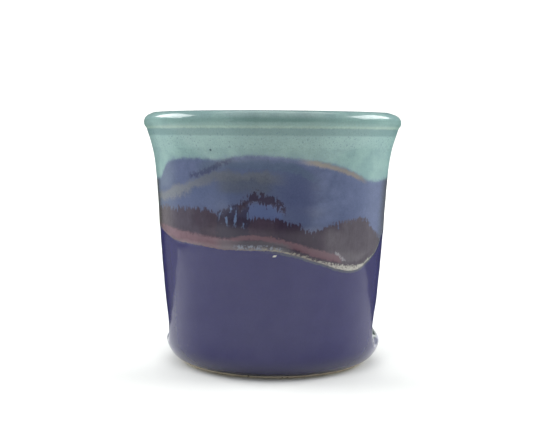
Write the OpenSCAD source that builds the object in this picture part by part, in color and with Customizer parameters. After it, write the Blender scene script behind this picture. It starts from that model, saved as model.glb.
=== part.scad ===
// Slotted stoneware sponge holder: a wheel-thrown cup with a rolled rim.
// Two opposite slots run down its sides, so that a sponge stands on edge in them.
// The fired clay is one solid, and each fused glaze coat is a thin closed skin that
// meets the clay and the next coat face to face.
// Frame: origin on the table at the cup's axis, +Z up, the slots face +X and -X.

/* [Cup] */
// Height from the table to the top of the rim
cup_h = 91; // [86:0.5:98]
// Radius of the foot where it stands on the table
foot_r = 33.4; // [31:0.2:35]
// Outside radius of the rounded belly just above the foot
belly_r = 39.8; // [38.8:0.1:40.4]
// Height of the belly above the table
belly_z = 8; // [7:0.5:9]
// Outside radius at half height
waist_r = 42.5; // [41.5:0.1:43]
// Outside radius where the wall starts to flare
neck_r = 43.8; // [43.2:0.1:44.2]
// Outside radius of the rolled rim
rim_r = 48.4; // [48:0.1:49.5]
// Radius of the roll that finishes the rim
roll_r = 3.3; // [2.8:0.1:3.6]
// Thickness of the wall
wall_t = 4.6; // [4:0.1:5]
// Thickness of the floor
floor_t = 7.5; // [6:0.5:8.5]
// Radius of the corner between the floor and the wall inside
inner_corner = 9; // [5:0.5:10]

/* [Slots] */
// Width of each slot
slot_w = 30; // [26:0.5:36]
// Height of the slot's floor above the table
slot_z = 10.5; // [9:0.5:16]
// Radius of the slot's lower corners
slot_corner = 10; // [3:0.5:12]
// Radius of the corners where the slot meets the rim
rim_corner = 5; // [3:0.5:7]

/* [Foot] */
// Radius of the shallow recess under the foot
recess_r = 28; // [24:0.5:29]
// Depth of the recess
recess_h = 0.6; // [0.3:0.1:0.7]
// Height of the bare clay above the table, where the glaze was wiped off
bare_h = 0.8; // [0.8:0.05:1.5]

/* [Glaze] */
// Thickness of the fused glaze
glaze_t = 0.4; // [0.3:0.05:0.5]
// Height of the ragged line between the plain glaze and the landscape, on the cup's middle
lower_line = 45; // [42:0.1:48]
// Height of the line between the landscape and the rim glaze, on the cup's middle
upper_line = 76; // [73:0.1:78]

/* [Hidden] */

// Steps that each turned surface is drawn with
turn_steps = 120;
// Length of the cutters, clear of the cup all round
reach = 60;
// Centre of the roll in the half section
roll_x = rim_r - roll_r;
roll_z = cup_h - roll_r;
// The wall runs into the roll at 45 degrees below its centre
roll_drop = roll_r * sin(45);
neck_z = 0.72 * cup_h;
flare_z = 0.845 * cup_h;

// Outside of the glazed wall from the foot to the roll, as [height, radius]
outer_wall = [
    [0, foot_r],
    [0.4 * belly_z, foot_r + 0.64 * (belly_r - foot_r)],
    [belly_z, belly_r],
    [2.5 * belly_z, belly_r + 0.35 * (waist_r - belly_r)],
    [0.47 * cup_h, waist_r],
    [neck_z, neck_r],
    [flare_z, neck_r + 0.34 * (roll_x + roll_drop - neck_r)],
    [roll_z - roll_drop, roll_x + roll_drop],
];

// Lower edge of the landscape across the front, as [x, rise above lower_line]
lower_wave = [[-40, 5.5], [-32.5, 1.8], [-21, 0.8], [-7, 0], [4, -0.2], [18, -4.2], [28, -7.6], [35, -4.6], [40, 5]];
// Upper edge of the landscape across the front, as [x, rise above upper_line]
upper_wave = [[-40, -4], [-33.5, -3], [-26, -0.9], [-15, -1], [-7, 0.2], [10, -1], [22, -3], [32, -8], [40, -8]];

// Slope of a smooth curve at its point i
function slope_at(points, i) =
    let (before = points[max(i - 1, 0)], after = points[min(i + 1, len(points) - 1)])
    (after[1] - before[1]) / (after[0] - before[0]);

// Number of the stretch of the curve that holds u
function stretch_at(points, u, i = 0) =
    i >= len(points) - 2 || u <= points[i + 1][0] ? i : stretch_at(points, u, i + 1);

// Value at u of the smooth curve that passes through the points
function curve_at(points, u) =
    let (i = stretch_at(points, u), from = points[i], to = points[i + 1])
    let (run = to[0] - from[0], t = (u - from[0]) / run)
    from[1] * (1 + 2 * t) * (1 - t) ^ 2 + run * slope_at(points, i) * t * (1 - t) ^ 2
        + to[1] * t * t * (3 - 2 * t) - run * slope_at(points, i + 1) * t * t * (1 - t);

// Even steps from one value up to, and not including, another
function steps(from, to, count) = [for (i = [0 : count - 1]) from + (to - from) * i / count];

// Heights at which the wall is drawn, closer together where it bends more
wall_levels = concat(
    steps(0, belly_z, 6),
    steps(belly_z, neck_z, 10),
    steps(neck_z, roll_z - roll_drop, 7),
    [roll_z - roll_drop]
);

// Half section of the cup, drawn a skin's thickness inside its glazed surface
function cup_section(skin) =
    let (corner = inner_corner + skin)
    let (corner_z = floor_t - skin + corner)
    let (corner_x = curve_at(outer_wall, corner_z) - wall_t + skin - corner)
    concat(
        [[0, recess_h], [recess_r, recess_h], [recess_r + recess_h, 0]],
        [for (z = wall_levels) [curve_at(outer_wall, z) - skin, z]],
        [for (a = [-45 : 15 : 225]) [roll_x, roll_z] + (roll_r - skin) * [cos(a), sin(a)]],
        [for (i = [len(wall_levels) - 1 : -1 : 0])
            let (z = wall_levels[i])
            if (z > corner_z) [curve_at(outer_wall, z) - wall_t + skin, z]],
        [for (a = [0 : -15 : -90]) [corner_x, corner_z] + corner * [cos(a), sin(a)]],
        [[0, floor_t - skin]]
    );

// End view of a slot's cutter, grown by a skin's thickness on every side
function slot_outline(skin) =
    let (half = slot_w / 2 + skin, low = slot_z - skin, corner = slot_corner + skin)
    let (bend = rim_corner - skin, bend_x = slot_w / 2 + rim_corner, bend_z = cup_h - rim_corner)
    let (right = concat(
        [for (a = [-90 : 18 : 0]) [half - corner, low + corner] + corner * [cos(a), sin(a)]],
        [for (a = [180 : -18 : 90]) [bend_x, bend_z] + bend * [cos(a), sin(a)]],
        [[bend_x, cup_h + reach]]
    ))
    concat(right, [for (i = [len(right) - 1 : -1 : 0]) [-right[i][0], right[i][1]]]);

module slot_cutter(skin) {
    rotate([90, 0, 90])
        linear_extrude(height = 2 * reach, center = true)
            polygon(slot_outline(skin));
}

// The cup with both slots cut, a skin's thickness inside its glazed surface
module slotted_cup(skin) {
    difference() {
        rotate_extrude($fn = turn_steps)
            polygon(cup_section(skin));
        slot_cutter(skin);
    }
}

// Everything inside the middle of the wall, up past the crest of the roll
module inside_zone() {
    rotate_extrude($fn = turn_steps)
        polygon(concat(
            [[0, floor_t / 2]],
            [for (z = wall_levels) if (z > floor_t / 2) [curve_at(outer_wall, z) - wall_t / 2, z]],
            [[roll_x, roll_z], [roll_x, cup_h + reach], [0, cup_h + reach]]
        ));
}

// Everything in front of the cup's middle and above a wave at the height given
module front_above(wave, line) {
    rotate([90, 0, 0])
        linear_extrude(height = reach)
            polygon(concat(
                [[-reach, line + wave[0][1]]],
                [for (x = [-40 : 2.5 : 40]) [x, line + curve_at(wave, x)]],
                [[reach, line + wave[len(wave) - 1][1]], [reach, cup_h + reach], [-reach, cup_h + reach]]
            ));
}

module half_turn() {
    rotate([0, 0, 180])
        children();
}

// All the glaze on the outside half of the wall and the roll
module outside_glaze() {
    difference() {
        slotted_cup(0);
        slotted_cup(glaze_t);
        inside_zone();
        translate([-reach, -reach, -reach])
            cube([2 * reach, 2 * reach, reach + bare_h]);
    }
}

// Fired clay: floor, wall with its two slots, rolled rim and trimmed foot
module stoneware_body() {
    color([0.63, 0.55, 0.47])
        slotted_cup(glaze_t);
}

// Plain violet coat round the lower half and over the slots' outer lips
module base_glaze() {
    color([0.27, 0.26, 0.42])
        difference() {
            outside_glaze();
            front_above(lower_wave, lower_line);
            half_turn()
                front_above(lower_wave, lower_line);
        }
}

// Layered hills and sky coat on the front wall
module landscape_glaze_front() {
    color([0.38, 0.41, 0.54])
        difference() {
            intersection() {
                outside_glaze();
                front_above(lower_wave, lower_line);
            }
            front_above(upper_wave, upper_line);
        }
}

// The same coat on the back wall, half a turn round
module landscape_glaze_back() {
    half_turn()
        landscape_glaze_front();
}

// Blue-green coat over the front wall's top and the outer half of its roll
module rim_glaze_front() {
    color([0.52, 0.64, 0.63])
        intersection() {
            outside_glaze();
            front_above(upper_wave, upper_line);
        }
}

// The same coat on the back wall, half a turn round
module rim_glaze_back() {
    half_turn()
        rim_glaze_front();
}

// Blue-green coat over the floor, the inside of the wall and the inner half of the roll
module liner_glaze() {
    color([0.48, 0.61, 0.59])
        intersection() {
            difference() {
                slotted_cup(0);
                slotted_cup(glaze_t);
            }
            inside_zone();
        }
}

stoneware_body();
base_glaze();
landscape_glaze_front();
landscape_glaze_back();
rim_glaze_front();
rim_glaze_back();
liner_glaze();
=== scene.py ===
# Looks of the slotted stoneware sponge holder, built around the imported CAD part.
# Lengths are in millimetres and angles in degrees; MM turns millimetres into metres.
# The whole glazed surface is drawn once as a fine net, then cut into its glaze coats.
import math

import bpy
import numpy as np
from mathutils import Matrix, Vector


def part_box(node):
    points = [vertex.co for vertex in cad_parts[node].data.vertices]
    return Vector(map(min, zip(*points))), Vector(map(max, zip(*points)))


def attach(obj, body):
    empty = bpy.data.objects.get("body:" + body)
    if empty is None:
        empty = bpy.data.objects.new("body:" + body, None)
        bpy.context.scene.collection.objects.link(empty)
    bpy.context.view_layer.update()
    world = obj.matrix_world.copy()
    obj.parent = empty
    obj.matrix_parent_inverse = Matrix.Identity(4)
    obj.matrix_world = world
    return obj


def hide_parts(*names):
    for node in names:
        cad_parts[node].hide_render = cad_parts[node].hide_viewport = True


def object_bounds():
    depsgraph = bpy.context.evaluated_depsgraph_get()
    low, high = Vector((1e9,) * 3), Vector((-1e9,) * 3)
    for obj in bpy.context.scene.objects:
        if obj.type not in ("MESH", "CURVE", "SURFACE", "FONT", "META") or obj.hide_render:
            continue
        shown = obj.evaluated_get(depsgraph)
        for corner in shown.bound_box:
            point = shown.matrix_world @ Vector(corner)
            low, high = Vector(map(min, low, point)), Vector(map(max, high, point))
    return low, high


MM = 0.001
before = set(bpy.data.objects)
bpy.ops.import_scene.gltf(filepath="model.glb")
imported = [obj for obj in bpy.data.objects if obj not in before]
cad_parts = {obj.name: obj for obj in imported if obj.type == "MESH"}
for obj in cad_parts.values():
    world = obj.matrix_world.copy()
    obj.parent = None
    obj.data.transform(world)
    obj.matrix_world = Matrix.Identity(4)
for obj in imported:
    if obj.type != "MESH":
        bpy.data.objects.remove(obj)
cad_low, cad_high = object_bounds()

# ---------------------------------------------------------------- sizes

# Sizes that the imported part's boxes give
CUP_H = cad_high.z / MM
RIM_R = cad_high.y / MM
BARE_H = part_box("base_glaze")[0].z / MM
SLOT_HALF = -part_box("rim_glaze_front")[1].y / MM
COAT_T = CUP_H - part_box("stoneware_body")[1].z / MM
FLOOR_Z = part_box("liner_glaze")[0].z / MM + COAT_T

# The part's other sizes, as in its source
FOOT_R = 33.4
FOOT_ROUND = 0.7
RECESS_R = 28
RECESS_H = 0.6
WALL_T = 4.6
INNER_CORNER = 9
SLOT_Z = 10.5
SLOT_CORNER = 10
RIM_CORNER = 5
ROLL_R = 3.3
ROLL_X = RIM_R - ROLL_R
ROLL_Z = CUP_H - ROLL_R
ROLL_DROP = ROLL_R * math.sin(math.radians(45))
# Height from one throwing ring inside to the next
RING_PITCH = 6.4

# Outside of the glazed wall from the foot to the roll, as (height, radius)
WALL = [
    (0, FOOT_R), (3.2, 37.5), (8, 39.8), (20, 40.75), (42.8, 42.5), (65.5, 43.8), (76.9, 45.03),
    (ROLL_Z - ROLL_DROP, ROLL_X + ROLL_DROP),
]
# Rounding of a slot's outer edge up its sides, as (height, radius): the lower corners are worn back
SIDE_EDGE = [(6, 5), (9.5, 6), (12, 5.6), (15, 4.4), (19, 2.4), (26, 1.2), (92, 1.2)]
# Rounding of the outer edge of its floor, and of all its inner edges
LIP_EDGE = 3.4
INNER_EDGE = 1.3

# Edges of the glaze layers on a wall, as (degrees from the wall's middle, height)
LOW_EDGE = [
    (-66, 50.5), (-60, 48.8), (-55, 48), (-50, 46.9), (-40, 46.3), (-30, 45.8), (-20, 45), (-10, 45),
    (0, 45), (5, 44.8), (10, 44), (15, 43.2), (20, 41.9), (25, 40.8), (30, 39.6), (35, 38.3), (40, 37.6),
    (43, 37.4), (47, 37.7), (50, 38.6), (55, 40.5), (60, 42.5), (63, 45), (66, 48.5),
]
TOP_EDGE = [
    (-66, 67.6), (-60, 68.2), (-56, 70.6), (-52, 73.2), (-48, 74.3), (-38, 75.1), (-30, 75.2), (-20, 74.9),
    (-10, 76.1), (0, 76.3), (10, 75.6), (20, 74.7), (30, 73.4), (35, 72.5), (40, 71.2), (45, 69.6),
    (50, 68), (55, 67.4), (60, 67.7), (66, 68.2),
]

# ---------------------------------------------------------------- shape


def smooth_step(low, high, value):
    t = np.clip((value - low) / (high - low), 0, 1)
    return t * t * (3 - 2 * t)


def curve_at(points, u):
    """Values at u of the smooth curve through points, each (place, value)."""
    x, y = np.array(points, float).T
    last = len(x) - 1
    before = np.maximum(np.arange(len(x)) - 1, 0)
    after = np.minimum(np.arange(len(x)) + 1, last)
    slope = (y[after] - y[before]) / (x[after] - x[before])
    u = np.clip(u, x[0], x[-1])
    i = np.clip(np.searchsorted(x, u) - 1, 0, last - 1)
    run = x[i + 1] - x[i]
    t = (u - x[i]) / run
    rise = y[i] * (1 + 2 * t) * (1 - t) ** 2 + y[i + 1] * t * t * (3 - 2 * t)
    return rise + run * t * (1 - t) * (slope[i] * (1 - t) - slope[i + 1] * t)


def arc(centre, radius, start, end, step=4):
    """Points along an arc between two angles."""
    angles = np.radians(np.linspace(start, end, round(abs(end - start) / step) + 1))
    return [(centre[0] + radius * math.cos(a), centre[1] + radius * math.sin(a)) for a in angles]


class Outline:
    """A closed anticlockwise outline in a plane. It gives signed distances, negative inside."""

    # A grid over the plane holds the nearest stretch, and REACH stretches on each side of that one are tried
    LOW, STEP, SIZE = np.array([-1.0, -3.0]), 0.5, (108, 196)
    REACH = 6

    def __init__(self, points):
        self.start = np.array(points, float)
        self.run = np.roll(self.start, -1, axis=0) - self.start
        self.square = (self.run ** 2).sum(axis=1)
        u, v = [self.LOW[k] + self.STEP * np.arange(self.SIZE[k]) for k in (0, 1)]
        u, v = np.meshgrid(u, v, indexing="ij")
        best = np.full(self.SIZE, np.inf)
        self.near = np.zeros(self.SIZE, int)
        for i in range(len(self.start)):
            gap = self._to_stretch(u, v, i)[0]
            self.near[gap < best] = i
            best = np.minimum(best, gap)

    def _to_stretch(self, u, v, i):
        """Square of the distance to stretch i, and how far to its right, times a positive number."""
        du, dv = u - self.start[i, 0], v - self.start[i, 1]
        ru, rv = self.run[i, 0], self.run[i, 1]
        t = np.clip((du * ru + dv * rv) / self.square[i], 0, 1)
        return (du - t * ru) ** 2 + (dv - t * rv) ** 2, rv * du - ru * dv

    def distance(self, u, v):
        iu, iv = [
            np.clip(np.rint((w - self.LOW[k]) / self.STEP), 0, self.SIZE[k] - 1).astype(int)
            for k, w in enumerate((u, v))
        ]
        near = self.near[iu, iv]
        best, side = np.full(u.shape, np.inf), np.zeros(u.shape)
        for shift in range(-self.REACH, self.REACH + 1):
            gap, right = self._to_stretch(u, v, (near + shift) % len(self.start))
            side = np.where(gap < best, right, side)
            best = np.minimum(best, gap)
        return np.sqrt(best) * np.sign(side)


def wall_radius(z):
    return curve_at(WALL, z)


def middle_radius(z):
    """Radius of the middle of the wall, and of the roll's crest above it."""
    wall_top = ROLL_Z - ROLL_DROP
    blend = smooth_step(wall_top - 1, wall_top + 2, z)
    return (wall_radius(z) - WALL_T / 2) * (1 - blend) + ROLL_X * blend


# Place past the cup's axis where the outlines start and end
PAST_AXIS = -5


def cup_section():
    """Half section of the glazed cup. It starts and ends a little past the axis."""
    heights = np.arange(0.3, ROLL_Z - ROLL_DROP, 0.4)
    slope = (WALL[1][1] - WALL[0][1]) / (WALL[1][0] - WALL[0][0])
    lean = math.degrees(math.atan2(1, slope))
    foot_x = FOOT_R - FOOT_ROUND * math.tan(math.radians(lean / 2))
    corner_z = FLOOR_Z + INNER_CORNER
    corner_x = float(wall_radius(corner_z)) - WALL_T - INNER_CORNER
    return (
        [(PAST_AXIS, RECESS_H), (RECESS_R, RECESS_H)]
        + arc((RECESS_R + RECESS_H + 0.4, 0.5), 0.5, 225, 270, 15)
        + arc((foot_x, FOOT_ROUND), FOOT_ROUND, 270, 270 + lean, 6)
        + [(float(wall_radius(z)), z) for z in heights]
        + arc((ROLL_X, ROLL_Z), ROLL_R, -45, 225)
        + [(float(wall_radius(z)) - WALL_T, z) for z in heights[::-1] if z > corner_z]
        + arc((corner_x, corner_z), INNER_CORNER, 0, -90, 3)
        + [(PAST_AXIS, FLOOR_Z)]
    )


def slot_outline():
    """End view of half a slot, from its middle to its side. It flares out at the rim."""
    bend = (SLOT_HALF + RIM_CORNER, CUP_H - RIM_CORNER)
    clear = CUP_H + 20
    return (
        [(PAST_AXIS, SLOT_Z)]
        + arc((SLOT_HALF - SLOT_CORNER, SLOT_Z + SLOT_CORNER), SLOT_CORNER, -90, 0)
        + arc(bend, RIM_CORNER, 180, 90)
        + [(bend[0], clear), (PAST_AXIS, clear)]
    )


section = Outline(cup_section())
slot_end = Outline(slot_outline())


def thrown(x, y, z, r):
    """How far the thrower's fingers pushed the surface out, and how far they raised the floor."""
    turn = np.arctan2(y, x)
    inward = smooth_step(1, -1, r - middle_radius(z))
    oval = 0.09 * (np.cos(2 * turn + 0.7) - 1) + 0.05 * (np.cos(3 * turn - 0.4) - 1)
    rings = 0.16 * np.sin(2 * math.pi * z / RING_PITCH + turn)
    rings = rings * smooth_step(12, 24, z) * smooth_step(84, 74, z)
    outer = 0.018 * np.sin(2 * math.pi * z / 8.3 + turn + 1)
    outer = outer * smooth_step(14, 24, z) * smooth_step(84, 76, z)
    spiral = 0.18 * np.sin(2 * math.pi * r / RING_PITCH - turn)
    spiral = spiral * smooth_step(2, 6, r) * smooth_step(30, 22, r)
    knob = 0.5 * np.exp(-(r / 4.5) ** 2)
    return oval + rings * inward + outer * (1 - inward), (spiral + knob) * smooth_step(3, 5, z)


def glazed_surface(p):
    """Distance from points to the glazed surface, negative inside."""
    x, y, z = p[..., 0], p[..., 1], p[..., 2]
    r = np.hypot(x, y)
    out, up = thrown(x, y, z, r)
    cup = section.distance(r - out, z - up)
    cut = -slot_end.distance(np.abs(y), z)
    outer = smooth_step(-1.5, 1, r - middle_radius(z))
    edge = LIP_EDGE + (curve_at(SIDE_EDGE, z) - LIP_EDGE) * smooth_step(6, 13, np.abs(y))
    edge = INNER_EDGE + (edge - INNER_EDGE) * outer
    rounded = np.hypot(np.maximum(cup + edge, 0), np.maximum(cut + edge, 0))
    return np.minimum(-edge, np.maximum(cup, cut)) + rounded


# ---------------------------------------------------------------- net

# Cells of the net, and the block of them that holds the cup
GRID = 0.8
GRID_LOW = np.array([-50.0, -50.0, -1.2])
GRID_SIZE = (126, 126, 118)


def surface_net(surface):
    """A net of quads: a point in each cell that the surface passes through, a quad round each cut edge."""
    axes = [GRID_LOW[k] + GRID * np.arange(GRID_SIZE[k]) for k in range(3)]
    value = np.empty(GRID_SIZE)
    for k, z in enumerate(axes[2]):
        level = np.stack(np.meshgrid(axes[0], axes[1], [z], indexing="ij"), axis=-1)
        value[:, :, k] = surface(level)[:, :, 0]
    total, count, quads = np.zeros((value.size, 3)), np.zeros(value.size), []
    for axis in range(3):
        one, two = (axis + 1) % 3, (axis + 2) % 3
        start = np.delete(value, -1, axis)
        end = np.delete(value, 0, axis)
        at = np.argwhere((start < 0) != (end < 0))
        start, end = start[tuple(at.T)], end[tuple(at.T)]
        point = GRID_LOW + GRID * at
        point[:, axis] += GRID * start / (start - end)
        corners = []
        for step_one, step_two in ((-1, -1), (0, -1), (0, 0), (-1, 0)):
            cell = at.copy()
            cell[:, one] += step_one
            cell[:, two] += step_two
            number = np.ravel_multi_index(cell.T, GRID_SIZE)
            np.add.at(total, number, point)
            np.add.at(count, number, 1)
            corners.append(number)
        quad = np.column_stack(corners)
        quad[start >= 0] = quad[start >= 0][:, ::-1]
        quads.append(quad)
    used, quads = np.unique(np.concatenate(quads), return_inverse=True)
    return total[used] / count[used, None], quads.reshape(-1, 4)


def slope_of(surface, p, reach=0.02):
    """Direction in which the distance to a surface grows, from four samples round each point."""
    steps = np.array([(1, -1, -1), (-1, -1, 1), (-1, 1, -1), (1, 1, 1)], float)
    return sum(s * surface(p + reach * s)[:, None] for s in steps) / (4 * reach)


def settle(surface, p, rounds):
    """Moves points on to a surface."""
    for _ in range(rounds):
        slope = slope_of(surface, p)
        steepness = np.maximum((slope ** 2).sum(axis=1, keepdims=True), 0.25)
        p = p - surface(p)[:, None] * slope / steepness
    return p


def evened(surface, p, quads, rounds):
    """Spreads a net's points evenly over the surface."""
    ends = np.concatenate([quads[:, [k, (k + 1) % 4]] for k in range(4)])
    ends = np.concatenate([ends, ends[:, ::-1]])
    share = np.bincount(ends[:, 0], minlength=len(p))[:, None]
    for _ in range(rounds):
        total = np.column_stack([np.bincount(ends[:, 0], p[ends[:, 1], k], len(p)) for k in range(3)])
        p = settle(surface, (p + total / share) / 2, 1)
    return p


def net_normals(p, quads):
    """Normals at a net's points."""
    across = np.cross(p[quads[:, 2]] - p[quads[:, 0]], p[quads[:, 3]] - p[quads[:, 1]])
    across = np.repeat(across, 4, axis=0)
    total = np.column_stack([np.bincount(quads.ravel(), across[:, k], len(p)) for k in range(3)])
    return total / np.linalg.norm(total, axis=1, keepdims=True)


def wall_angle(p):
    """Degrees from the middle of a point's wall, positive to the right as seen from outside."""
    return np.degrees(np.arctan2(np.where(p[:, 1] < 0, p[:, 0], -p[:, 0]), np.abs(p[:, 1])))


def inside_level(p):
    """Negative inside the middle of the wall, where the liner is."""
    r = np.hypot(p[:, 0], p[:, 1])
    return np.maximum(r - middle_radius(p[:, 2]), FLOOR_Z / 2 - p[:, 2])


def bare_level(p):
    """Negative below the line down to which the foot is glazed."""
    turn = np.arctan2(p[:, 1], p[:, 0])
    return p[:, 2] - BARE_H - 0.06 - 0.06 * np.sin(5 * turn) - 0.05 * np.sin(13 * turn + 1)


def low_level(p):
    return p[:, 2] - curve_at(LOW_EDGE, wall_angle(p))


def top_level(p):
    return p[:, 2] - curve_at(TOP_EDGE, wall_angle(p))


def coat_relief(p):
    """Extra thickness of the glaze: thicker in the landscape, fat at its lower edge and thin at the foot."""
    angle = wall_angle(p)
    outer = smooth_step(0, 1.2, inside_level(p))
    above = low_level(p) + 0.35 * np.sin(0.9 * angle) * np.sin(0.37 * angle + 1)
    bead = 0.06 + 0.14 * smooth_step(10, 38, angle) * smooth_step(62, 50, angle)
    layer = 0.1 * smooth_step(-0.3, 0.9, above) + bead * np.exp(-((above - 1) / 0.9) ** 2)
    layer = layer * smooth_step(84, 77, p[:, 2])
    foot = -0.27 * smooth_step(1.4, 0, bare_level(p))
    return (layer + foot) * outer


def clay_relief(p):
    """Turning marks in the recess under the foot, cut into the clay."""
    r = np.hypot(p[:, 0], p[:, 1])
    marks = 0.5 + 0.5 * np.sin(2 * math.pi * r / 3.3 + 0.3 * np.arctan2(p[:, 1], p[:, 0]))
    return -0.07 * marks * smooth_step(27, 25, r) * smooth_step(2, 1, p[:, 2])


# Columns of a net's rows: the point itself, its places on the glaze and on the clay, and the glaze's normal
BASE, OUTER, INNER, NORMAL = slice(0, 3), slice(3, 6), slice(6, 9), slice(9, 12)
# A point moves on to a cutting line that passes it within this share of an edge
SNAP = 0.18


def cut(rows, faces, level_of):
    """Splits faces where level_of is 0. Returns all the rows, and the faces below and above that line."""
    level = level_of(rows[:, BASE])
    mixed = [f for f in faces if level[f].min() < 0 < level[f].max()]
    close = {}
    for face in mixed:
        for a, b in zip(face, np.roll(face, -1)):
            if level[a] * level[b] < 0:
                t = level[a] / (level[a] - level[b])
                near, far, gap = (a, b, t) if t < 0.5 else (b, a, 1 - t)
                if gap < close.get(near, (SNAP,))[0]:
                    close[near] = (gap, far)
    moved = {a: rows[a] + gap * (rows[b] - rows[a]) for a, (gap, b) in close.items()}
    for near, row in moved.items():
        rows[near] = row
        level[near] = 0
    added, between, below, above = [], {}, [], []
    for face in faces:
        values = level[face]
        if values.max() <= 0:
            below.append(face)
        elif values.min() >= 0:
            above.append(face)
        else:
            parts = ([], [])
            for a, b in zip(face, np.roll(face, -1)):
                for side, part in ((-1, parts[0]), (1, parts[1])):
                    if level[a] * side >= 0:
                        part.append(a)
                if level[a] * level[b] < 0:
                    pair = (min(a, b), max(a, b))
                    if pair not in between:
                        t = level[a] / (level[a] - level[b])
                        between[pair] = len(rows) + len(added)
                        added.append(rows[a] + t * (rows[b] - rows[a]))
                    for part in parts:
                        part.append(between[pair])
            below.append(np.array(parts[0]))
            above.append(np.array(parts[1]))
    if added:
        rows = np.concatenate([rows, added])
    rows[:, NORMAL] /= np.linalg.norm(rows[:, NORMAL], axis=1, keepdims=True)
    return rows, below, above


# ---------------------------------------------------------------- pieces


def link(name, data):
    """A new object in the scene."""
    made = bpy.data.objects.new(name, data)
    bpy.context.scene.collection.objects.link(made)
    return made


def new_piece(name, points, faces, node, material, normals=None):
    """A mesh that stands for a CAD node. Its points are in millimetres."""
    mesh = bpy.data.meshes.new(name)
    mesh.from_pydata((points * MM).tolist(), [], [list(map(int, f)) for f in faces])
    mesh.polygons.foreach_set("use_smooth", [True] * len(faces))
    if normals is not None:
        mesh.normals_split_custom_set(normals.tolist())
    mesh.materials.append(material)
    mesh.validate()
    piece = link(name, mesh)
    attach(piece, "root")
    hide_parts(node)
    return piece


def coat(name, rows, faces, node, material):
    """A closed coat of glaze: its outer face, the same face turned over on the clay, and its edges."""
    corners = np.concatenate(faces)
    used, index = np.unique(corners, return_inverse=True)
    count = len(used)
    outer = np.split(index, np.cumsum([len(f) for f in faces])[:-1])
    edges = {(a, b) for f in outer for a, b in zip(f.tolist(), np.roll(f, -1).tolist())}
    rim = sorted(e for e in edges if e[::-1] not in edges)
    under = [f[::-1] + count for f in outer]
    sides = [np.array([b, a, a + count, b + count]) for a, b in rim]
    points = np.concatenate([rows[used, OUTER], rows[used, INNER]])
    normal = rows[used, NORMAL]
    side_normals = []
    for f in sides:
        flat = np.cross(points[f[2]] - points[f[0]], points[f[3]] - points[f[1]])
        side_normals += [flat / max(np.linalg.norm(flat), 1e-9)] * 4
    normals = np.concatenate([normal[index], -normal[np.concatenate(under) - count], side_normals])
    return new_piece(name, points, outer + under + sides, node, material, normals)


# ---------------------------------------------------------------- shading


def linear(red, green, blue):
    """Linear colour from a display colour of 0 to 255."""
    parts = [c / 255 for c in (red, green, blue)]
    return [c / 12.92 if c <= 0.04045 else ((c + 0.055) / 1.055) ** 2.4 for c in parts]


# What the studio light does to a colour on the wall: its reflections add a veil, and the rest is scaled
# by the gain. Low on the wall the glaze also reflects the white table.
VEIL = 0.012
LOW_VEIL = 0.042
GAIN = 0.92


def pigment(red, green, blue, veil=VEIL):
    """The base colour that looks like this display colour on the wall in the studio light."""
    return (*[min(max(c - veil, 0.002) / GAIN, 0.9) for c in linear(red, green, blue)], 1)


class Num:
    """A number in a node tree. Arithmetic on it adds nodes."""

    def __init__(self, tree, socket):
        self.tree, self.socket = tree, socket

    def math(self, operation, *others):
        """A math node that takes this number and the others."""
        node = self.tree.nodes.new("ShaderNodeMath")
        node.operation = operation
        for place, value in zip(node.inputs, (self, *others)):
            plug(self.tree, place, value)
        return Num(self.tree, node.outputs[0])

    def __add__(self, other):
        return self.math("ADD", other)

    def __sub__(self, other):
        return self.math("SUBTRACT", other)

    def __mul__(self, other):
        return self.math("MULTIPLY", other)

    def __truediv__(self, other):
        return self.math("DIVIDE", other)

    def invert(self):
        return self * -1 + 1


def plug(tree, place, value):
    """Links or sets an input."""
    if isinstance(value, Num):
        value = value.socket
    if isinstance(value, bpy.types.NodeSocket):
        tree.links.new(value, place)
    else:
        place.default_value = value


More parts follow.
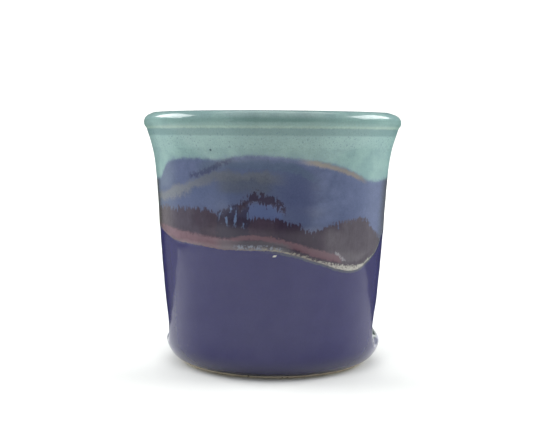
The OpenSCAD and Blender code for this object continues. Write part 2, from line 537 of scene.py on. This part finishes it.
class Paint:
    """Shorthand for building one node tree."""

    # Points of the curve nodes
    KNOTS = 30

    def __init__(self, tree):
        self.tree = tree

    def node(self, kind, inputs=(), **settings):
        made = self.tree.nodes.new(kind)
        for key, value in settings.items():
            setattr(made, key, value)
        for key, value in dict(inputs).items():
            plug(self.tree, made.inputs[key], value)
        return made

    def num(self, socket):
        return Num(self.tree, socket)

    def position(self):
        """Object coordinates in millimetres, as a vector and three numbers."""
        place = self.node("ShaderNodeTexCoord").outputs["Object"]
        inputs = {0: place, 1: (1 / MM,) * 3}
        scaled = self.node("ShaderNodeVectorMath", inputs, operation="MULTIPLY").outputs[0]
        parts = self.node("ShaderNodeSeparateXYZ", {0: scaled})
        return scaled, *[self.num(o) for o in parts.outputs]

    def vector(self, x, y, z):
        return self.node("ShaderNodeCombineXYZ", {0: x, 1: y, 2: z}).outputs[0]

    def noise(self, vector, scale, detail=2.0, roughness=0.5):
        """Noise from about -0.5 to 0.5."""
        inputs = {"Vector": vector, "Scale": scale, "Detail": detail, "Roughness": roughness}
        return (self.num(self.node("ShaderNodeTexNoise", inputs).outputs[0]) - 0.5) * 3

    def step(self, low, high, value):
        """A soft step from 0 at low to 1 at high."""
        inputs = {"Value": value, "From Min": low, "From Max": high}
        made = self.node("ShaderNodeMapRange", inputs, interpolation_type="SMOOTHSTEP")
        return self.num(made.outputs[0])

    def curve(self, points, value):
        """The smooth curve through points, each (place, value), as a function of a number."""
        places = np.linspace(points[0][0], points[-1][0], self.KNOTS)
        heights = curve_at(points, places)
        low, high = heights.min() - 0.1, heights.max() + 0.1
        node = self.node("ShaderNodeFloatCurve")
        shape = node.mapping.curves[0]
        shares = (heights - low) / (high - low)
        for i, (place, height) in enumerate(zip(np.linspace(0, 1, self.KNOTS), shares)):
            if i < 2:
                shape.points[i].location = (place, height)
            else:
                shape.points.new(place, height)
        node.mapping.update()
        span = places[-1] - places[0]
        plug(self.tree, node.inputs["Value"], (value - places[0]) / span)
        return self.num(node.outputs[0]) * (high - low) + low

    def band(self, centre, half, soft, value):
        """1 within half of centre, fading to 0 over soft."""
        return self.step(half + soft, half, (value - centre).math("ABSOLUTE"))

    def window(self, low, high, soft, value):
        """1 between low and high, fading outwards over soft."""
        return self.step(low - soft, low, value) * self.step(high + soft, high, value)

    def mix(self, share, first, second):
        """Two colours mixed. The node's colour sockets are inputs 6 and 7 and output 2."""
        return self.node("ShaderNodeMix", {0: share, 6: first, 7: second}, data_type="RGBA").outputs[2]

    def lay(self, ground, *coats):
        """Lays coats over a ground colour, each as (how much of it shows, its colour)."""
        for share, colour in coats:
            ground = self.mix(share, ground, colour)
        return ground

    def shade(self, colour, amount):
        """Brightens or darkens a colour by a number round 0."""
        start = colour[:3] if isinstance(colour, tuple) else colour
        inputs = {0: start, "Scale": amount + 1}
        return self.node("ShaderNodeVectorMath", inputs, operation="SCALE").outputs[0]


# ---------------------------------------------------------------- glazes

# Millimetres round the wall for each degree
ARC_PER_DEGREE = 0.75

# Lines drawn in the landscape, as (degrees from the wall's middle, height), from the sky down.
# In the sky they are a tan arc, a haze above it, a dark streak, and the peach line below the rim glaze.
ARC_LINE = [
    (-68, 60.5), (-60, 61.4), (-50, 62.6), (-40, 64.8), (-30, 67.2), (-20, 69), (-10, 69.5), (0, 69.4),
    (12, 68.4),
]
HAZE_LINE = [(-35, 71.5), (-22, 73), (-10, 73.6), (2, 73.2), (14, 71.6), (24, 68)]
STREAK_LINE = [(-38, 69.4), (-34, 69.8), (-30, 70.2), (-25, 71.6), (-20, 73.4), (-14, 75)]
PEACH_LINE = [
    (12, 74.8), (16, 74.2), (20, 73.8), (25, 73.2), (30, 72.3), (35, 71.3), (40, 70.1), (45, 68.6),
    (50, 67.2),
]
# Upper edges of the hills and of the grove on them, and the middle of the crown of trees
RIDGE = [
    (-68, 57.6), (-48, 58), (-38, 58), (-30, 58.4), (-25, 57.2), (-20, 56), (-12, 55.4), (-5, 55.4),
    (0, 55.5), (5, 55.2), (10, 54.4), (15, 53.5), (18, 52), (21, 51), (25, 51.8), (32, 53.4), (38, 54),
    (45, 54.8), (50, 54.4), (54, 52.5), (57, 50.5), (60, 49), (68, 46.5),
]
GROVE_TOP = [(-24, 55.5), (-21, 57), (-17, 58), (-14, 59.2), (-11, 60.4), (-8.5, 60.6), (-6.5, 59), (-5, 56)]
CROWN_LINE = [
    (-14, 57), (-10, 59.4), (-8, 60.8), (-6, 61.9), (-3, 62), (1, 61.4), (4, 60.6), (7, 59.2), (10, 57.6),
]
# On the ground they are the top of the rose band, the red line and a pale squiggle
ROSE_TOP = [(-68, 51.8), (-60, 51.6), (-50, 50.8), (-40, 50.1), (-30, 49.3), (-20, 48.7), (-10, 48.4)]
RED_LINE = [
    (-14, 48.6), (-6, 49.3), (0, 49.1), (5, 48.3), (10, 47.2), (15, 46.2), (20, 44.9), (25, 43.8),
    (30, 42.8), (36, 41.6),
]
SQUIGGLE_LINE = [(31, 44.6), (33, 44), (36, 42.6), (39, 41)]
# Half the height of the red line and of the cream bead, as (degrees, half height)
RED_HALF = [(-14, 0.3), (0, 0.4), (10, 0.6), (20, 0.8), (30, 1), (36, 0.8)]
CREAM_HALF = [
    (-68, 0.25), (-50, 0.3), (-30, 0.3), (-12, 0.4), (0, 0.5), (8, 0.55), (20, 0.7), (30, 0.95),
    (38, 1.7), (44, 1.6), (50, 0.9), (58, 0.5), (68, 0.4),
]
# Two spots on the front wall: a dark pinhole in the rim glaze, and a bright fleck in the violet, a glaze
# bubble with its highlight painted in as a pale spot
PINHOLE = (-23.5, 78)
GLINT_FLECK = (4.6, 43.3)


def length(x, y):
    """Length of the vector (x, y) in a node tree."""
    return (x * x + y * y).math("SQRT")


class Field:
    """Numbers that the glazes share in a node tree: the place on the cup, the noises and the drawn shapes."""

    def __init__(self, p):
        self.place, x, y, z = p.position()
        self.z = z
        self.side = y.math("LESS_THAN", 0) * 2 - 1
        self.away = y.math("ABSOLUTE")
        self.radius = length(x, y)
        self.turn = y.math("ARCTAN2", x)
        self.angle = angle = (x * self.side).math("ARCTAN2", self.away) * math.degrees(1)
        self.arc = angle * ARC_PER_DEGREE
        self.above_low = z - p.curve(LOW_EDGE, angle)
        self.above_top = z - p.curve(TOP_EDGE, angle)
        self.sill = p.window(SLOT_Z - 0.6, SLOT_Z + 2.5, 1.2, z) * p.step(16, 13, self.away)

        # noises, from the broadest to the finest, and the directions in which the glaze ran
        self.broad = p.noise(self.place, 0.06, 2)
        self.large = p.noise(self.place, 0.16, 3)
        self.middling = middling = p.noise(self.place, 0.45, 3)
        self.small = small = p.noise(self.place, 1.3, 3, 0.6)
        self.grain = grain = p.noise(self.place, 3.6, 2, 0.6)
        self.runs = p.noise(p.vector(self.arc + middling * 0.3, z * 0.2, self.side * 37), 1, 2, 0.55)
        self.strokes = p.noise(p.vector(self.arc * 0.16 - z * 0.05, z * 0.26, self.side * 53), 1, 2, 0.5)
        self.rag = middling * 0.45 + small * 0.65 + grain * 0.35
        spikes = self.runs.math("ABSOLUTE") * -2.6 + 0.7
        self.needles = spikes * 1.2 + small * 0.9 + grain * 0.4 + middling * 0.9

        # shapes that the colour and the roughness or the height both follow
        self.hills = p.step(-0.45, 0.45, p.curve(RIDGE, angle) - z + self.needles)
        crown = p.band(p.curve(CROWN_LINE, angle), middling * 0.9 + 0.95, 0.8, z - self.needles * 1.1)
        crown = crown * p.window(-11, 8.8, 1, angle + small)
        self.crown = crown * p.step(-0.55, -0.2, self.runs + small + p.step(6, -2, angle) * 0.8)
        self.rose = p.step(-0.8, 0.7, p.curve(ROSE_TOP, angle) - z + self.rag * 0.8) * p.step(-8, -17, angle)
        drips = p.window(-12, 6, 3, angle) * p.window(0.1, 1.5, 0.7, self.above_low)
        self.drips = drips * p.step(0, 0.2, small + self.runs * 0.5)
        cream = p.step(0.35, -0.25, self.above_low - p.curve(CREAM_HALF, angle) + self.rag * 1.5)
        self.cream = cream * p.step(-0.3, 0.15, self.above_low + self.rag * 0.7)
        peach = p.band(p.curve(PEACH_LINE, angle), 0.1, 1.2, z + self.rag * 0.7 - 0.2)
        self.peach = peach * p.window(22, 43, 9, angle)


def violet_glaze(p, f):
    """Plain violet, deeper at the foot, pale on the slots' lips where the glaze breaks and a highlight is
    painted, and a painted shadow in grey-green just under the cream bead.
    """
    # Pale lips: partly the glaze breaking thin over the edge, partly a painted highlight of the bright table
    lip_break_and_highlight = p.window(8, 12.5, 2.5, f.z) * p.step(15, 11.5, f.away) * p.step(35.5, 37.5, f.radius)
    # Painted shadow: a grey-green band just under the fat cream bead
    line = p.band(-0.35, 0.2, 0.4, f.above_low + f.small * 0.4)
    line = line * p.step(-5, 12, f.angle) * p.step(64, 52, f.angle)
    violet = p.lay(
        pigment(69, 68, 102, LOW_VEIL),
        (p.step(-0.6, 0.6, f.large), pigment(71, 70, 104, LOW_VEIL)),
        (p.step(9, 1.5, f.z), pigment(66, 65, 86)),
    )
    violet = p.shade(violet, f.small * 0.07 + f.grain * 0.12)
    return p.lay(violet, (lip_break_and_highlight * 0.75, pigment(146, 149, 164)), (line * 0.5, pigment(92, 98, 92)))


def sky_glaze(p, f):
    """Periwinkle with drifts of tan and deep blue, paler towards the slots as a painted reflection of the
    light beside the cup.
    """
    angle, z, rag, large = f.angle, f.z, f.rag, f.large
    drift = f.strokes * 0.3 + large * 0.6 + f.middling * 0.25
    deep = p.window(-14, 18, 14, angle + f.strokes * 6) * p.step(76, 67, z)
    pond = p.step(1.25, 0.35, length((angle - 15) / 9, (z - 62) / 8.5))
    under_arc = p.window(-56, -14, 8, angle) * p.window(59, 64, 2, z)
    arc = p.band(p.curve(ARC_LINE, angle), 0.5, 2.2, z + rag * 1.3 + large * 1.8) * p.step(12, 0, angle)
    tan = p.mix(p.step(-46, -24, angle), pigment(128, 130, 128), pigment(100, 103, 106))
    haze = p.band(p.curve(HAZE_LINE, angle), 0.7, 1.6, z + rag * 0.9 + large) * p.window(-26, 18, 8, angle)
    low_haze = p.band(66.4, 1.2, 2.6, z + rag * 0.9 + large * 1.4) * p.window(-17, 0, 6, angle)
    streak = p.band(p.curve(STREAK_LINE, angle), 0.3, 1.3, z + f.needles * 0.5) * p.window(-35, -14, 2, angle)
    streak = streak * p.step(-0.8, 0, f.small + f.middling)
    sky = p.lay(
        pigment(80, 89, 118),
        (p.step(-0.6, 0.6, drift), pigment(94, 103, 132)),
        (deep * 0.7, pigment(76, 83, 108)),
        # Painted reflection: paler towards both slots
        (p.step(38, 54, angle) * 0.55, pigment(108, 118, 146)),
        (p.step(-42, -56, angle) * 0.5, pigment(116, 130, 146)),
        (pond * 0.55, pigment(74, 80, 111)),
        (under_arc * 0.5, pigment(84, 94, 124)),
        (arc * 0.6, tan),
        (haze * 0.5, pigment(84, 98, 114)),
        (low_haze * 0.6, pigment(80, 85, 95)),
        (streak * 0.65, pigment(58, 60, 84)),
    )
    return p.shade(sky, f.small * 0.09 + f.grain * 0.14)


def hill_glaze(p, f):
    """Brown, greyer towards the slots, with a painted lighter reflection at the far left and two nearly black
    stretches that are a painted dark reflection of the room in front.
    """
    angle = f.angle
    uneven = angle + f.large * 9
    hill = p.lay(
        pigment(64, 55, 67),
        (p.step(20, 40, uneven), pigment(84, 79, 87)),
        (p.step(-24, -42, uneven) * 0.8, pigment(80, 75, 87)),
        # Painted reflection: the far left is lighter
        (p.step(-46, -58, angle) * 0.7, pigment(102, 96, 99)),
        # Painted dark reflection: two nearly black stretches in the middle
        (p.window(8, 24, 6, angle) * 0.8, pigment(50, 41, 56)),
        (p.window(-19, -9, 1.5, angle + f.small) * 0.6, pigment(48, 43, 58)),
    )
    return p.shade(hill, f.runs * 0.14 + f.middling * 0.14 + f.small * 0.1 + f.grain * 0.12)


def cream_glaze(p, f):
    """The fat bead at the landscape's lower edge: pinkish on the left, cream on the right, specked grey."""
    return p.lay(
        pigment(112, 100, 106),
        (p.step(-20, 5, f.angle), pigment(132, 126, 118)),
        (p.step(18, 40, f.angle), pigment(170, 168, 160)),
        (p.step(50, 60, f.angle), pigment(122, 134, 124)),
        (p.step(-0.15, 0.4, f.small + f.grain * 0.7) * 0.75, pigment(88, 82, 90)),
    )


def landscape_glaze(p, f):
    """Sky over hills that ran into needles, a grove and a crown of trees, and rose and red ground."""
    angle, z, rag, small = f.angle, f.z, f.rag, f.small
    glow = p.window(-8, 7, 2, angle) * p.window(55.6, 59.8, 1, z + rag)
    grove = p.step(-0.6, 0.6, p.curve(GROVE_TOP, angle) - z + f.needles * 1.3)
    grove = grove * p.window(-21.5, -6.8, 0.8, angle + f.middling * 2)
    drops = p.noise(p.vector(f.arc * 0.75 + small * 0.15, z * 0.24 + f.middling * 0.3, f.side * 11), 1, 1)
    drops = p.step(0.1, 0.25, drops) * p.window(-20, -8, 1.5, angle) * p.window(54, 58, 1, z + f.needles)
    rose = p.shade(pigment(122, 98, 106), f.strokes * 0.16 + f.middling * 0.14 + small * 0.1)
    red = p.band(p.curve(RED_LINE, angle), p.curve(RED_HALF, angle), 0.8, z + rag * 0.9)
    red = red * p.window(-14, 35, 3, angle)
    moss = p.window(-18, 8, 7, angle) * p.window(0.2, 2.6, 1.2, f.above_low + rag * 0.6)
    squiggle = p.band(p.curve(SQUIGGLE_LINE, angle), 0.1, 0.6, z + rag * 1.3) * p.window(33.5, 38.5, 1, angle)
    # Darker near the slots: partly the glaze breaking at the edge, partly a painted dark reflection
    slot_edge = p.step(22, 17, f.away + rag * 0.8)
    return p.lay(
        sky_glaze(p, f),
        (f.hills, hill_glaze(p, f)),
        (glow * f.hills.invert() * 0.6, pigment(84, 96, 134)),
        (grove * 0.85, pigment(54, 49, 64)),
        (drops * 0.75, pigment(98, 118, 152)),
        (f.crown * 0.85, pigment(58, 50, 62)),
        (f.rose * 0.85, rose),
        (red * 0.6, pigment(114, 86, 94)),
        (moss * 0.7, pigment(94, 92, 98)),
        (f.drips * 0.7, pigment(126, 132, 146)),
        (squiggle * 0.6, pigment(150, 148, 154)),
        (slot_edge * 0.65, pigment(76, 76, 70)),
        (f.cream, cream_glaze(p, f)),
    )


def rim_glaze(p, f):
    """Blue-green: a pale freckled belt, a painted shade under the roll, a yellow-green line along the roll's
    lower edge where the glaze breaks and a reflection of the white table is painted, a painted dark
    reflection on the roll's front, and painted reflections that lighten the ends and darken the middle.
    """
    angle, z, rag, small = f.angle, f.z, f.rag, f.small
    belt = p.window(79.2, 83.4, 1, z + rag * 0.9)
    green = p.lay(
        pigment(122, 150, 149),
        (p.step(-0.4, 0.4, f.large), pigment(132, 160, 157)),
        (belt * 0.5, pigment(138, 166, 163)),
        # Painted shade: the band just under the roll is darker
        (p.window(83.2, 85, 0.8, z + rag * 0.3) * 0.75, pigment(106, 134, 134)),
        # Yellow-green line on the roll's lower edge: partly where the glaze breaks, partly a painted
        # reflection of the white table
        (p.band(85.6, 0.2, 0.5, z + small * 0.3) * 0.5, pigment(146, 168, 152)),
        # Painted reflection: the roll's front face is darker, mirroring the dark room in front
        (p.window(86.5, 87.8, 1.2, z) * 0.6, pigment(112, 142, 137)),
    )
    # Painted reflection: the rim glaze is lighter towards the slots and darker in the middle, where it
    # mirrors the dark room in front
    ends = p.step(32, 54, angle.math("ABSOLUTE"))
    green = p.shade(green, small * 0.08 + f.grain * 0.13 + ends * 0.14 - p.window(-2, 16, 18, angle) * 0.16)
    freckles = p.step(0.4, 0.62, p.noise(f.place, 1.9, 1)) * p.window(76, 85, 2, z + rag)
    freckles = freckles * (belt * 0.5 + 0.35)
    fringe = p.step(2.2, 0, f.above_top + rag) * p.step(-0.1, 0.5, small + f.grain * 0.7)
    pin = p.step(0.5, 0.3, length((angle - PINHOLE[0]) * 0.8, z - PINHOLE[1])) * p.step(-1, 0, f.side)
    return p.lay(
        green,
        (freckles * 0.8, pigment(90, 112, 124)),
        (fringe * 0.7, pigment(92, 106, 134)),
        (pin, pigment(66, 88, 96)),
    )


def inside_glaze(p, f):
    """Blue-green: pooled dark in the corner, pale on the throwing rings, with a painted shadow that darkens
    the slots' floors.
    """
    rings = (f.z * (2 * math.pi / RING_PITCH) + f.turn).math("SINE")
    pool = p.step(24, 9, f.z + f.large * 6) * p.step(14, 30, f.radius + f.large * 6)
    green = p.lay(
        pigment(112, 144, 142),
        (p.step(-0.6, 0.8, f.large + rings * 0.35), pigment(138, 166, 160)),
        (pool * 0.7, pigment(78, 112, 122)),
        (p.step(0.45, 0.7, p.noise(f.place, 1.9, 1)) * 0.45, pigment(90, 116, 122)),
    )
    green = p.shade(green, f.small * 0.08 + f.grain * 0.08)
    # Painted shadow: the slots' floors are darkened
    return p.mix(f.sill * p.step(33, 36, f.radius) * 0.9, green, pigment(74, 84, 80))


def glaze_group():
    """The colour, roughness and fine height of every glaze on the cup, from the place on it alone."""
    tree = bpy.data.node_groups.new("fired glazes", "ShaderNodeTree")
    kinds = {"Color": "NodeSocketColor", "Roughness": "NodeSocketFloat", "Height": "NodeSocketFloat"}
    for name, kind in kinds.items():
        tree.interface.new_socket(name, in_out="OUTPUT", socket_type=kind)
    p = Paint(tree)
    f = Field(p)

    # Painted highlight: the glint of a glaze bubble, drawn as a small pale spot
    fleck_across, fleck_up = (f.angle - GLINT_FLECK[0]) * 0.5, f.z - GLINT_FLECK[1]
    glint_fleck = p.step(0.45, 0.25, (fleck_across - fleck_up * 0.5).math("ABSOLUTE"))
    glint_fleck = glint_fleck * p.step(0.38, 0.22, fleck_up.math("ABSOLUTE")) * p.step(-1, 0, f.side)
    outside = p.lay(
        violet_glaze(p, f),
        (p.step(-0.12, 0.12, f.above_low + f.small * 0.35), landscape_glaze(p, f)),
        (p.step(-0.8, 0.8, f.above_top + f.rag * 0.7), rim_glaze(p, f)),
        (f.peach * 0.55, pigment(150, 138, 110)),
        (glint_fleck, pigment(190, 188, 178)),
    )
    middle = p.curve([(z, float(middle_radius(z))) for z in np.linspace(4, 88, 22)], f.z)
    lined = p.step(0.25, -0.25, f.radius - middle - f.sill + f.rag * 0.5)
    colour = p.mix(lined, outside, inside_glaze(p, f))

    matt = f.hills * p.step(0.6, -0.6, f.above_top) * p.step(-0.3, 0.3, f.above_low)
    rough = f.small * 0.025 + matt * 0.04 + f.cream * 0.08 + f.broad * 0.03 + 0.12
    pits = p.step(0.8, 0.95, p.noise(f.place, 1.1, 0)) * -0.02
    height = p.noise(f.place, 0.35, 2) * 0.006 + f.small * 0.002 + pits
    height = height + f.cream * 0.07 + f.drips * 0.03 + f.crown * 0.02 + f.rose * 0.02 + f.peach * 0.02
    end = p.node("NodeGroupOutput")
    for name, value in (("Color", colour), ("Roughness", rough), ("Height", height)):
        plug(tree, end.inputs[name], value)
    return tree


def raised(p, height):
    """A normal that follows a height in millimetres."""
    return p.node("ShaderNodeBump", {"Height": height, "Distance": MM, "Strength": 1.0}).outputs[0]


def new_material(name):
    """A new material, the shorthand for its node tree, and its surface node."""
    material = bpy.data.materials.new(name)
    material.use_nodes = True
    return material, Paint(material.node_tree), material.node_tree.nodes["Principled BSDF"]


def glaze_material(name, group):
    material, p, surface = new_material(name)
    pattern = p.node("ShaderNodeGroup", node_tree=group).outputs
    surface.inputs["IOR"].default_value = 1.52
    plug(p.tree, surface.inputs["Base Color"], pattern["Color"])
    plug(p.tree, surface.inputs["Roughness"], pattern["Roughness"])
    plug(p.tree, surface.inputs["Normal"], raised(p, pattern["Height"]))
    return material


def clay_material():
    """Bare fired stoneware: buff, iron specks, turning marks, toasted where it meets the glaze."""
    material, p, surface = new_material("bare stoneware")
    place, x, y, z = p.position()
    radius = length(x, y)
    large, small, grain = p.noise(place, 0.12, 3), p.noise(place, 1.2, 4, 0.65), p.noise(place, 5, 2)
    toasted = p.step(0.5, 0.9, z + small * 0.2) * p.step(RECESS_R + 2, RECESS_R + 4, radius)
    specks = p.step(0.55, 0.7, p.noise(place, 0.9, 1))
    clay = p.mix(p.step(-0.6, 0.6, large), pigment(210, 199, 178), pigment(224, 215, 197))
    clay = p.shade(clay, small * 0.1 + grain * 0.1)
    clay = p.lay(clay, (toasted * 0.3, pigment(176, 158, 136)), (specks * 0.8, pigment(88, 62, 46)))
    marks = (radius * 2.4 + small).math("SINE")
    surface.inputs["IOR"].default_value = 1.5
    plug(p.tree, surface.inputs["Base Color"], clay)
    plug(p.tree, surface.inputs["Roughness"], small * 0.1 + 0.82)
    plug(p.tree, surface.inputs["Normal"], raised(p, small * 0.03 + grain * 0.015 + marks * 0.012))
    return material


# ---------------------------------------------------------------- the cup

points, quads = surface_net(glazed_surface)
points = settle(glazed_surface, points, 3)
points = evened(glazed_surface, points, quads, 3)
outward = slope_of(glazed_surface, points)
outward /= np.linalg.norm(outward, axis=1, keepdims=True)
glazed = points + outward * coat_relief(points)[:, None]
clay = points - outward * (COAT_T * smooth_step(0, BARE_H - 0.1, points[:, 2]))[:, None]
under_foot = np.hypot(points[:, 0], points[:, 1]) < RECESS_R + 1
under_foot &= points[:, 2] < RECESS_H + 0.5
clay[under_foot] = points[under_foot]
clay = clay + outward * clay_relief(points)[:, None]

rows = np.concatenate([points, glazed, clay, net_normals(glazed, quads)], axis=1)
rows, inside, outside = cut(rows, list(quads), inside_level)
rows, _, covered = cut(rows, outside, bare_level)
rows, lower, upper = cut(rows, covered, low_level)
rows, landscape, top = cut(rows, upper, top_level)


def half(faces, in_front):
    """The faces of the front wall or of the back one."""
    return [f for f in faces if (rows[f[0], 1] < 0) == in_front]


group = glaze_group()
new_piece("fired_clay_body", clay, quads, "stoneware_body", clay_material())
coat("violet_base_coat", rows, lower, "base_glaze", glaze_material("violet glaze", group))
picture = glaze_material("landscape glazes", group)
coat("landscape_coat_front", rows, half(landscape, True), "landscape_glaze_front", picture)
coat("landscape_coat_back", rows, half(landscape, False), "landscape_glaze_back", picture)
sea = glaze_material("blue-green glaze", group)
coat("rim_coat_front", rows, half(top, True), "rim_glaze_front", sea)
coat("rim_coat_back", rows, half(top, False), "rim_glaze_back", sea)
coat("liner_coat", rows, inside, "liner_glaze", glaze_material("liner glaze", group))

# ---------------------------------------------------------------- studio


def table():
    """A white table that sweeps up behind the cup. Only the part round the cup is mirrored in the glaze."""
    half_near, half_wide = 0.24, 1.8
    near_front, near_back = -0.26, 0.03
    sweep_y, sweep_r, top_z = 1.0, 0.5, 2.4
    turns = np.linspace(0, math.pi / 2, 25)
    sweep = [(sweep_y + sweep_r * math.sin(a), sweep_r - sweep_r * math.cos(a)) for a in turns]
    flat = [(y, 0) for y in (-1.6, near_front, near_back, sweep_y - 0.1, sweep_y - 0.01)]
    wall = [(sweep_y + sweep_r, z) for z in (sweep_r + 0.1, top_z)]
    rows = flat + sweep + wall
    columns = (-half_wide, -half_near, half_near, half_wide)
    corners = [(x, y, z) for y, z in rows for x in columns]
    cells = [(row, column) for row in range(len(rows) - 1) for column in range(len(columns) - 1)]
    near = (1, 1)
    material, _, surface = new_material("matt white card")
    surface.inputs["Base Color"].default_value = (0.91, 0.92, 0.9, 1)
    surface.inputs["Roughness"].default_value = 0.7
    surface.inputs["Specular IOR Level"].default_value = 0.2
    for name, wanted in (("table_top", [near]), ("table_surround", [c for c in cells if c != near])):
        first = [row * len(columns) + column for row, column in wanted]
        faces = [(k, k + 1, k + 1 + len(columns), k + len(columns)) for k in first]
        mesh = bpy.data.meshes.new(name)
        mesh.from_pydata(corners, [], faces)
        mesh.polygons.foreach_set("use_smooth", [True] * len(faces))
        mesh.materials.append(material)
        part = link(name, mesh)
        part.visible_glossy = name == "table_top"


def lamp(name, place, target, size, power):
    """A soft rectangular light at place, in metres, that faces target."""
    light = bpy.data.lights.new(name, "AREA")
    light.shape = "RECTANGLE"
    light.size, light.size_y = size
    light.energy = power
    lit = link(name, light)
    lit.location = place
    lit.rotation_euler = (Vector(target) - Vector(place)).to_track_quat("-Z", "Y").to_euler()


def room():
    """Room light that the glaze mirrors: dark in front, where the camera stands, and brighter at the sides.

    Where the mirrored part of the table ends, it goes on as white light below, beside and behind the cup.
    """
    world = bpy.data.worlds.new("room")
    bpy.context.scene.world = world
    world.use_nodes = True
    p = Paint(world.node_tree)
    ways = p.node("ShaderNodeSeparateXYZ", {0: p.node("ShaderNodeTexCoord").outputs["Generated"]})
    across, ahead, up = [p.num(o) for o in ways.outputs]
    front = ahead * -1 / length(across, ahead)
    sides = p.step(0.84, 0.7, front) * p.step(-0.8, -0.3, front)
    above = p.step(0.2, 0.9, up)
    beside = p.window(-0.6, -0.3, 0.15, front) * p.step(0.02, -0.06, up)
    below = p.step(-0.3, -0.42, up)
    behind = p.step(-0.9, -0.96, front) * p.window(-0.25, 0.1, 0.06, up)
    light = sides * 0.34 + above * 0.2 + 0.06 + beside * 0.2 + below * 0.65 + behind * 1.3
    back = world.node_tree.nodes["Background"]
    back.inputs["Color"].default_value = (0.97, 0.99, 1, 1)
    plug(p.tree, back.inputs["Strength"], light)


def camera():
    """The view that the cup is shown in, from a little to its right and just below its rim, tipped down."""
    place = (0.0253, -0.3561, 0.0822)
    aside, down, tilt = [math.radians(a) for a in (4.49, 5.13, 0.38)]
    level = Vector((math.cos(aside), math.sin(aside), 0))
    ahead = Vector((-math.sin(aside) * math.cos(down), math.cos(aside) * math.cos(down), -math.sin(down)))
    up = level.cross(ahead)
    right = level * math.cos(tilt) + up * math.sin(tilt)
    above = up * math.cos(tilt) - level * math.sin(tilt)
    eye = link("camera", bpy.data.cameras.new("camera"))
    eye.data.lens = 65.1
    eye.data.sensor_width = 36
    eye.data.clip_start = 0.01
    eye.matrix_world = Matrix((right, above, -ahead)).transposed().to_4x4()
    eye.location = place
    bpy.context.scene.camera = eye


table()
room()
for name, x in (("left window", -1.4), ("right window", 1.4)):
    lamp(name, (x, 0.38, 0.98), (0, 0, 0.08), (1.2, 0.75), 20)
lamp("ceiling", (0, -0.1, 1.5), (0, 0, 0), (1.5, 1.5), 5)
lamp("softbox", (0, -1.0, 1.5), (0, 0, 0.05), (2.4, 1.6), 7)
lamp("small lamp", (-0.44, -0.667, 0.102), (0, 0, 0.088), (0.02, 0.02), 0.08)
lamp("backdrop light", (0, 0.5, 1.6), (0, 1.4, 0.5), (1.2, 0.4), 8)
camera()
bpy.context.scene.view_settings.view_transform = "Standard"
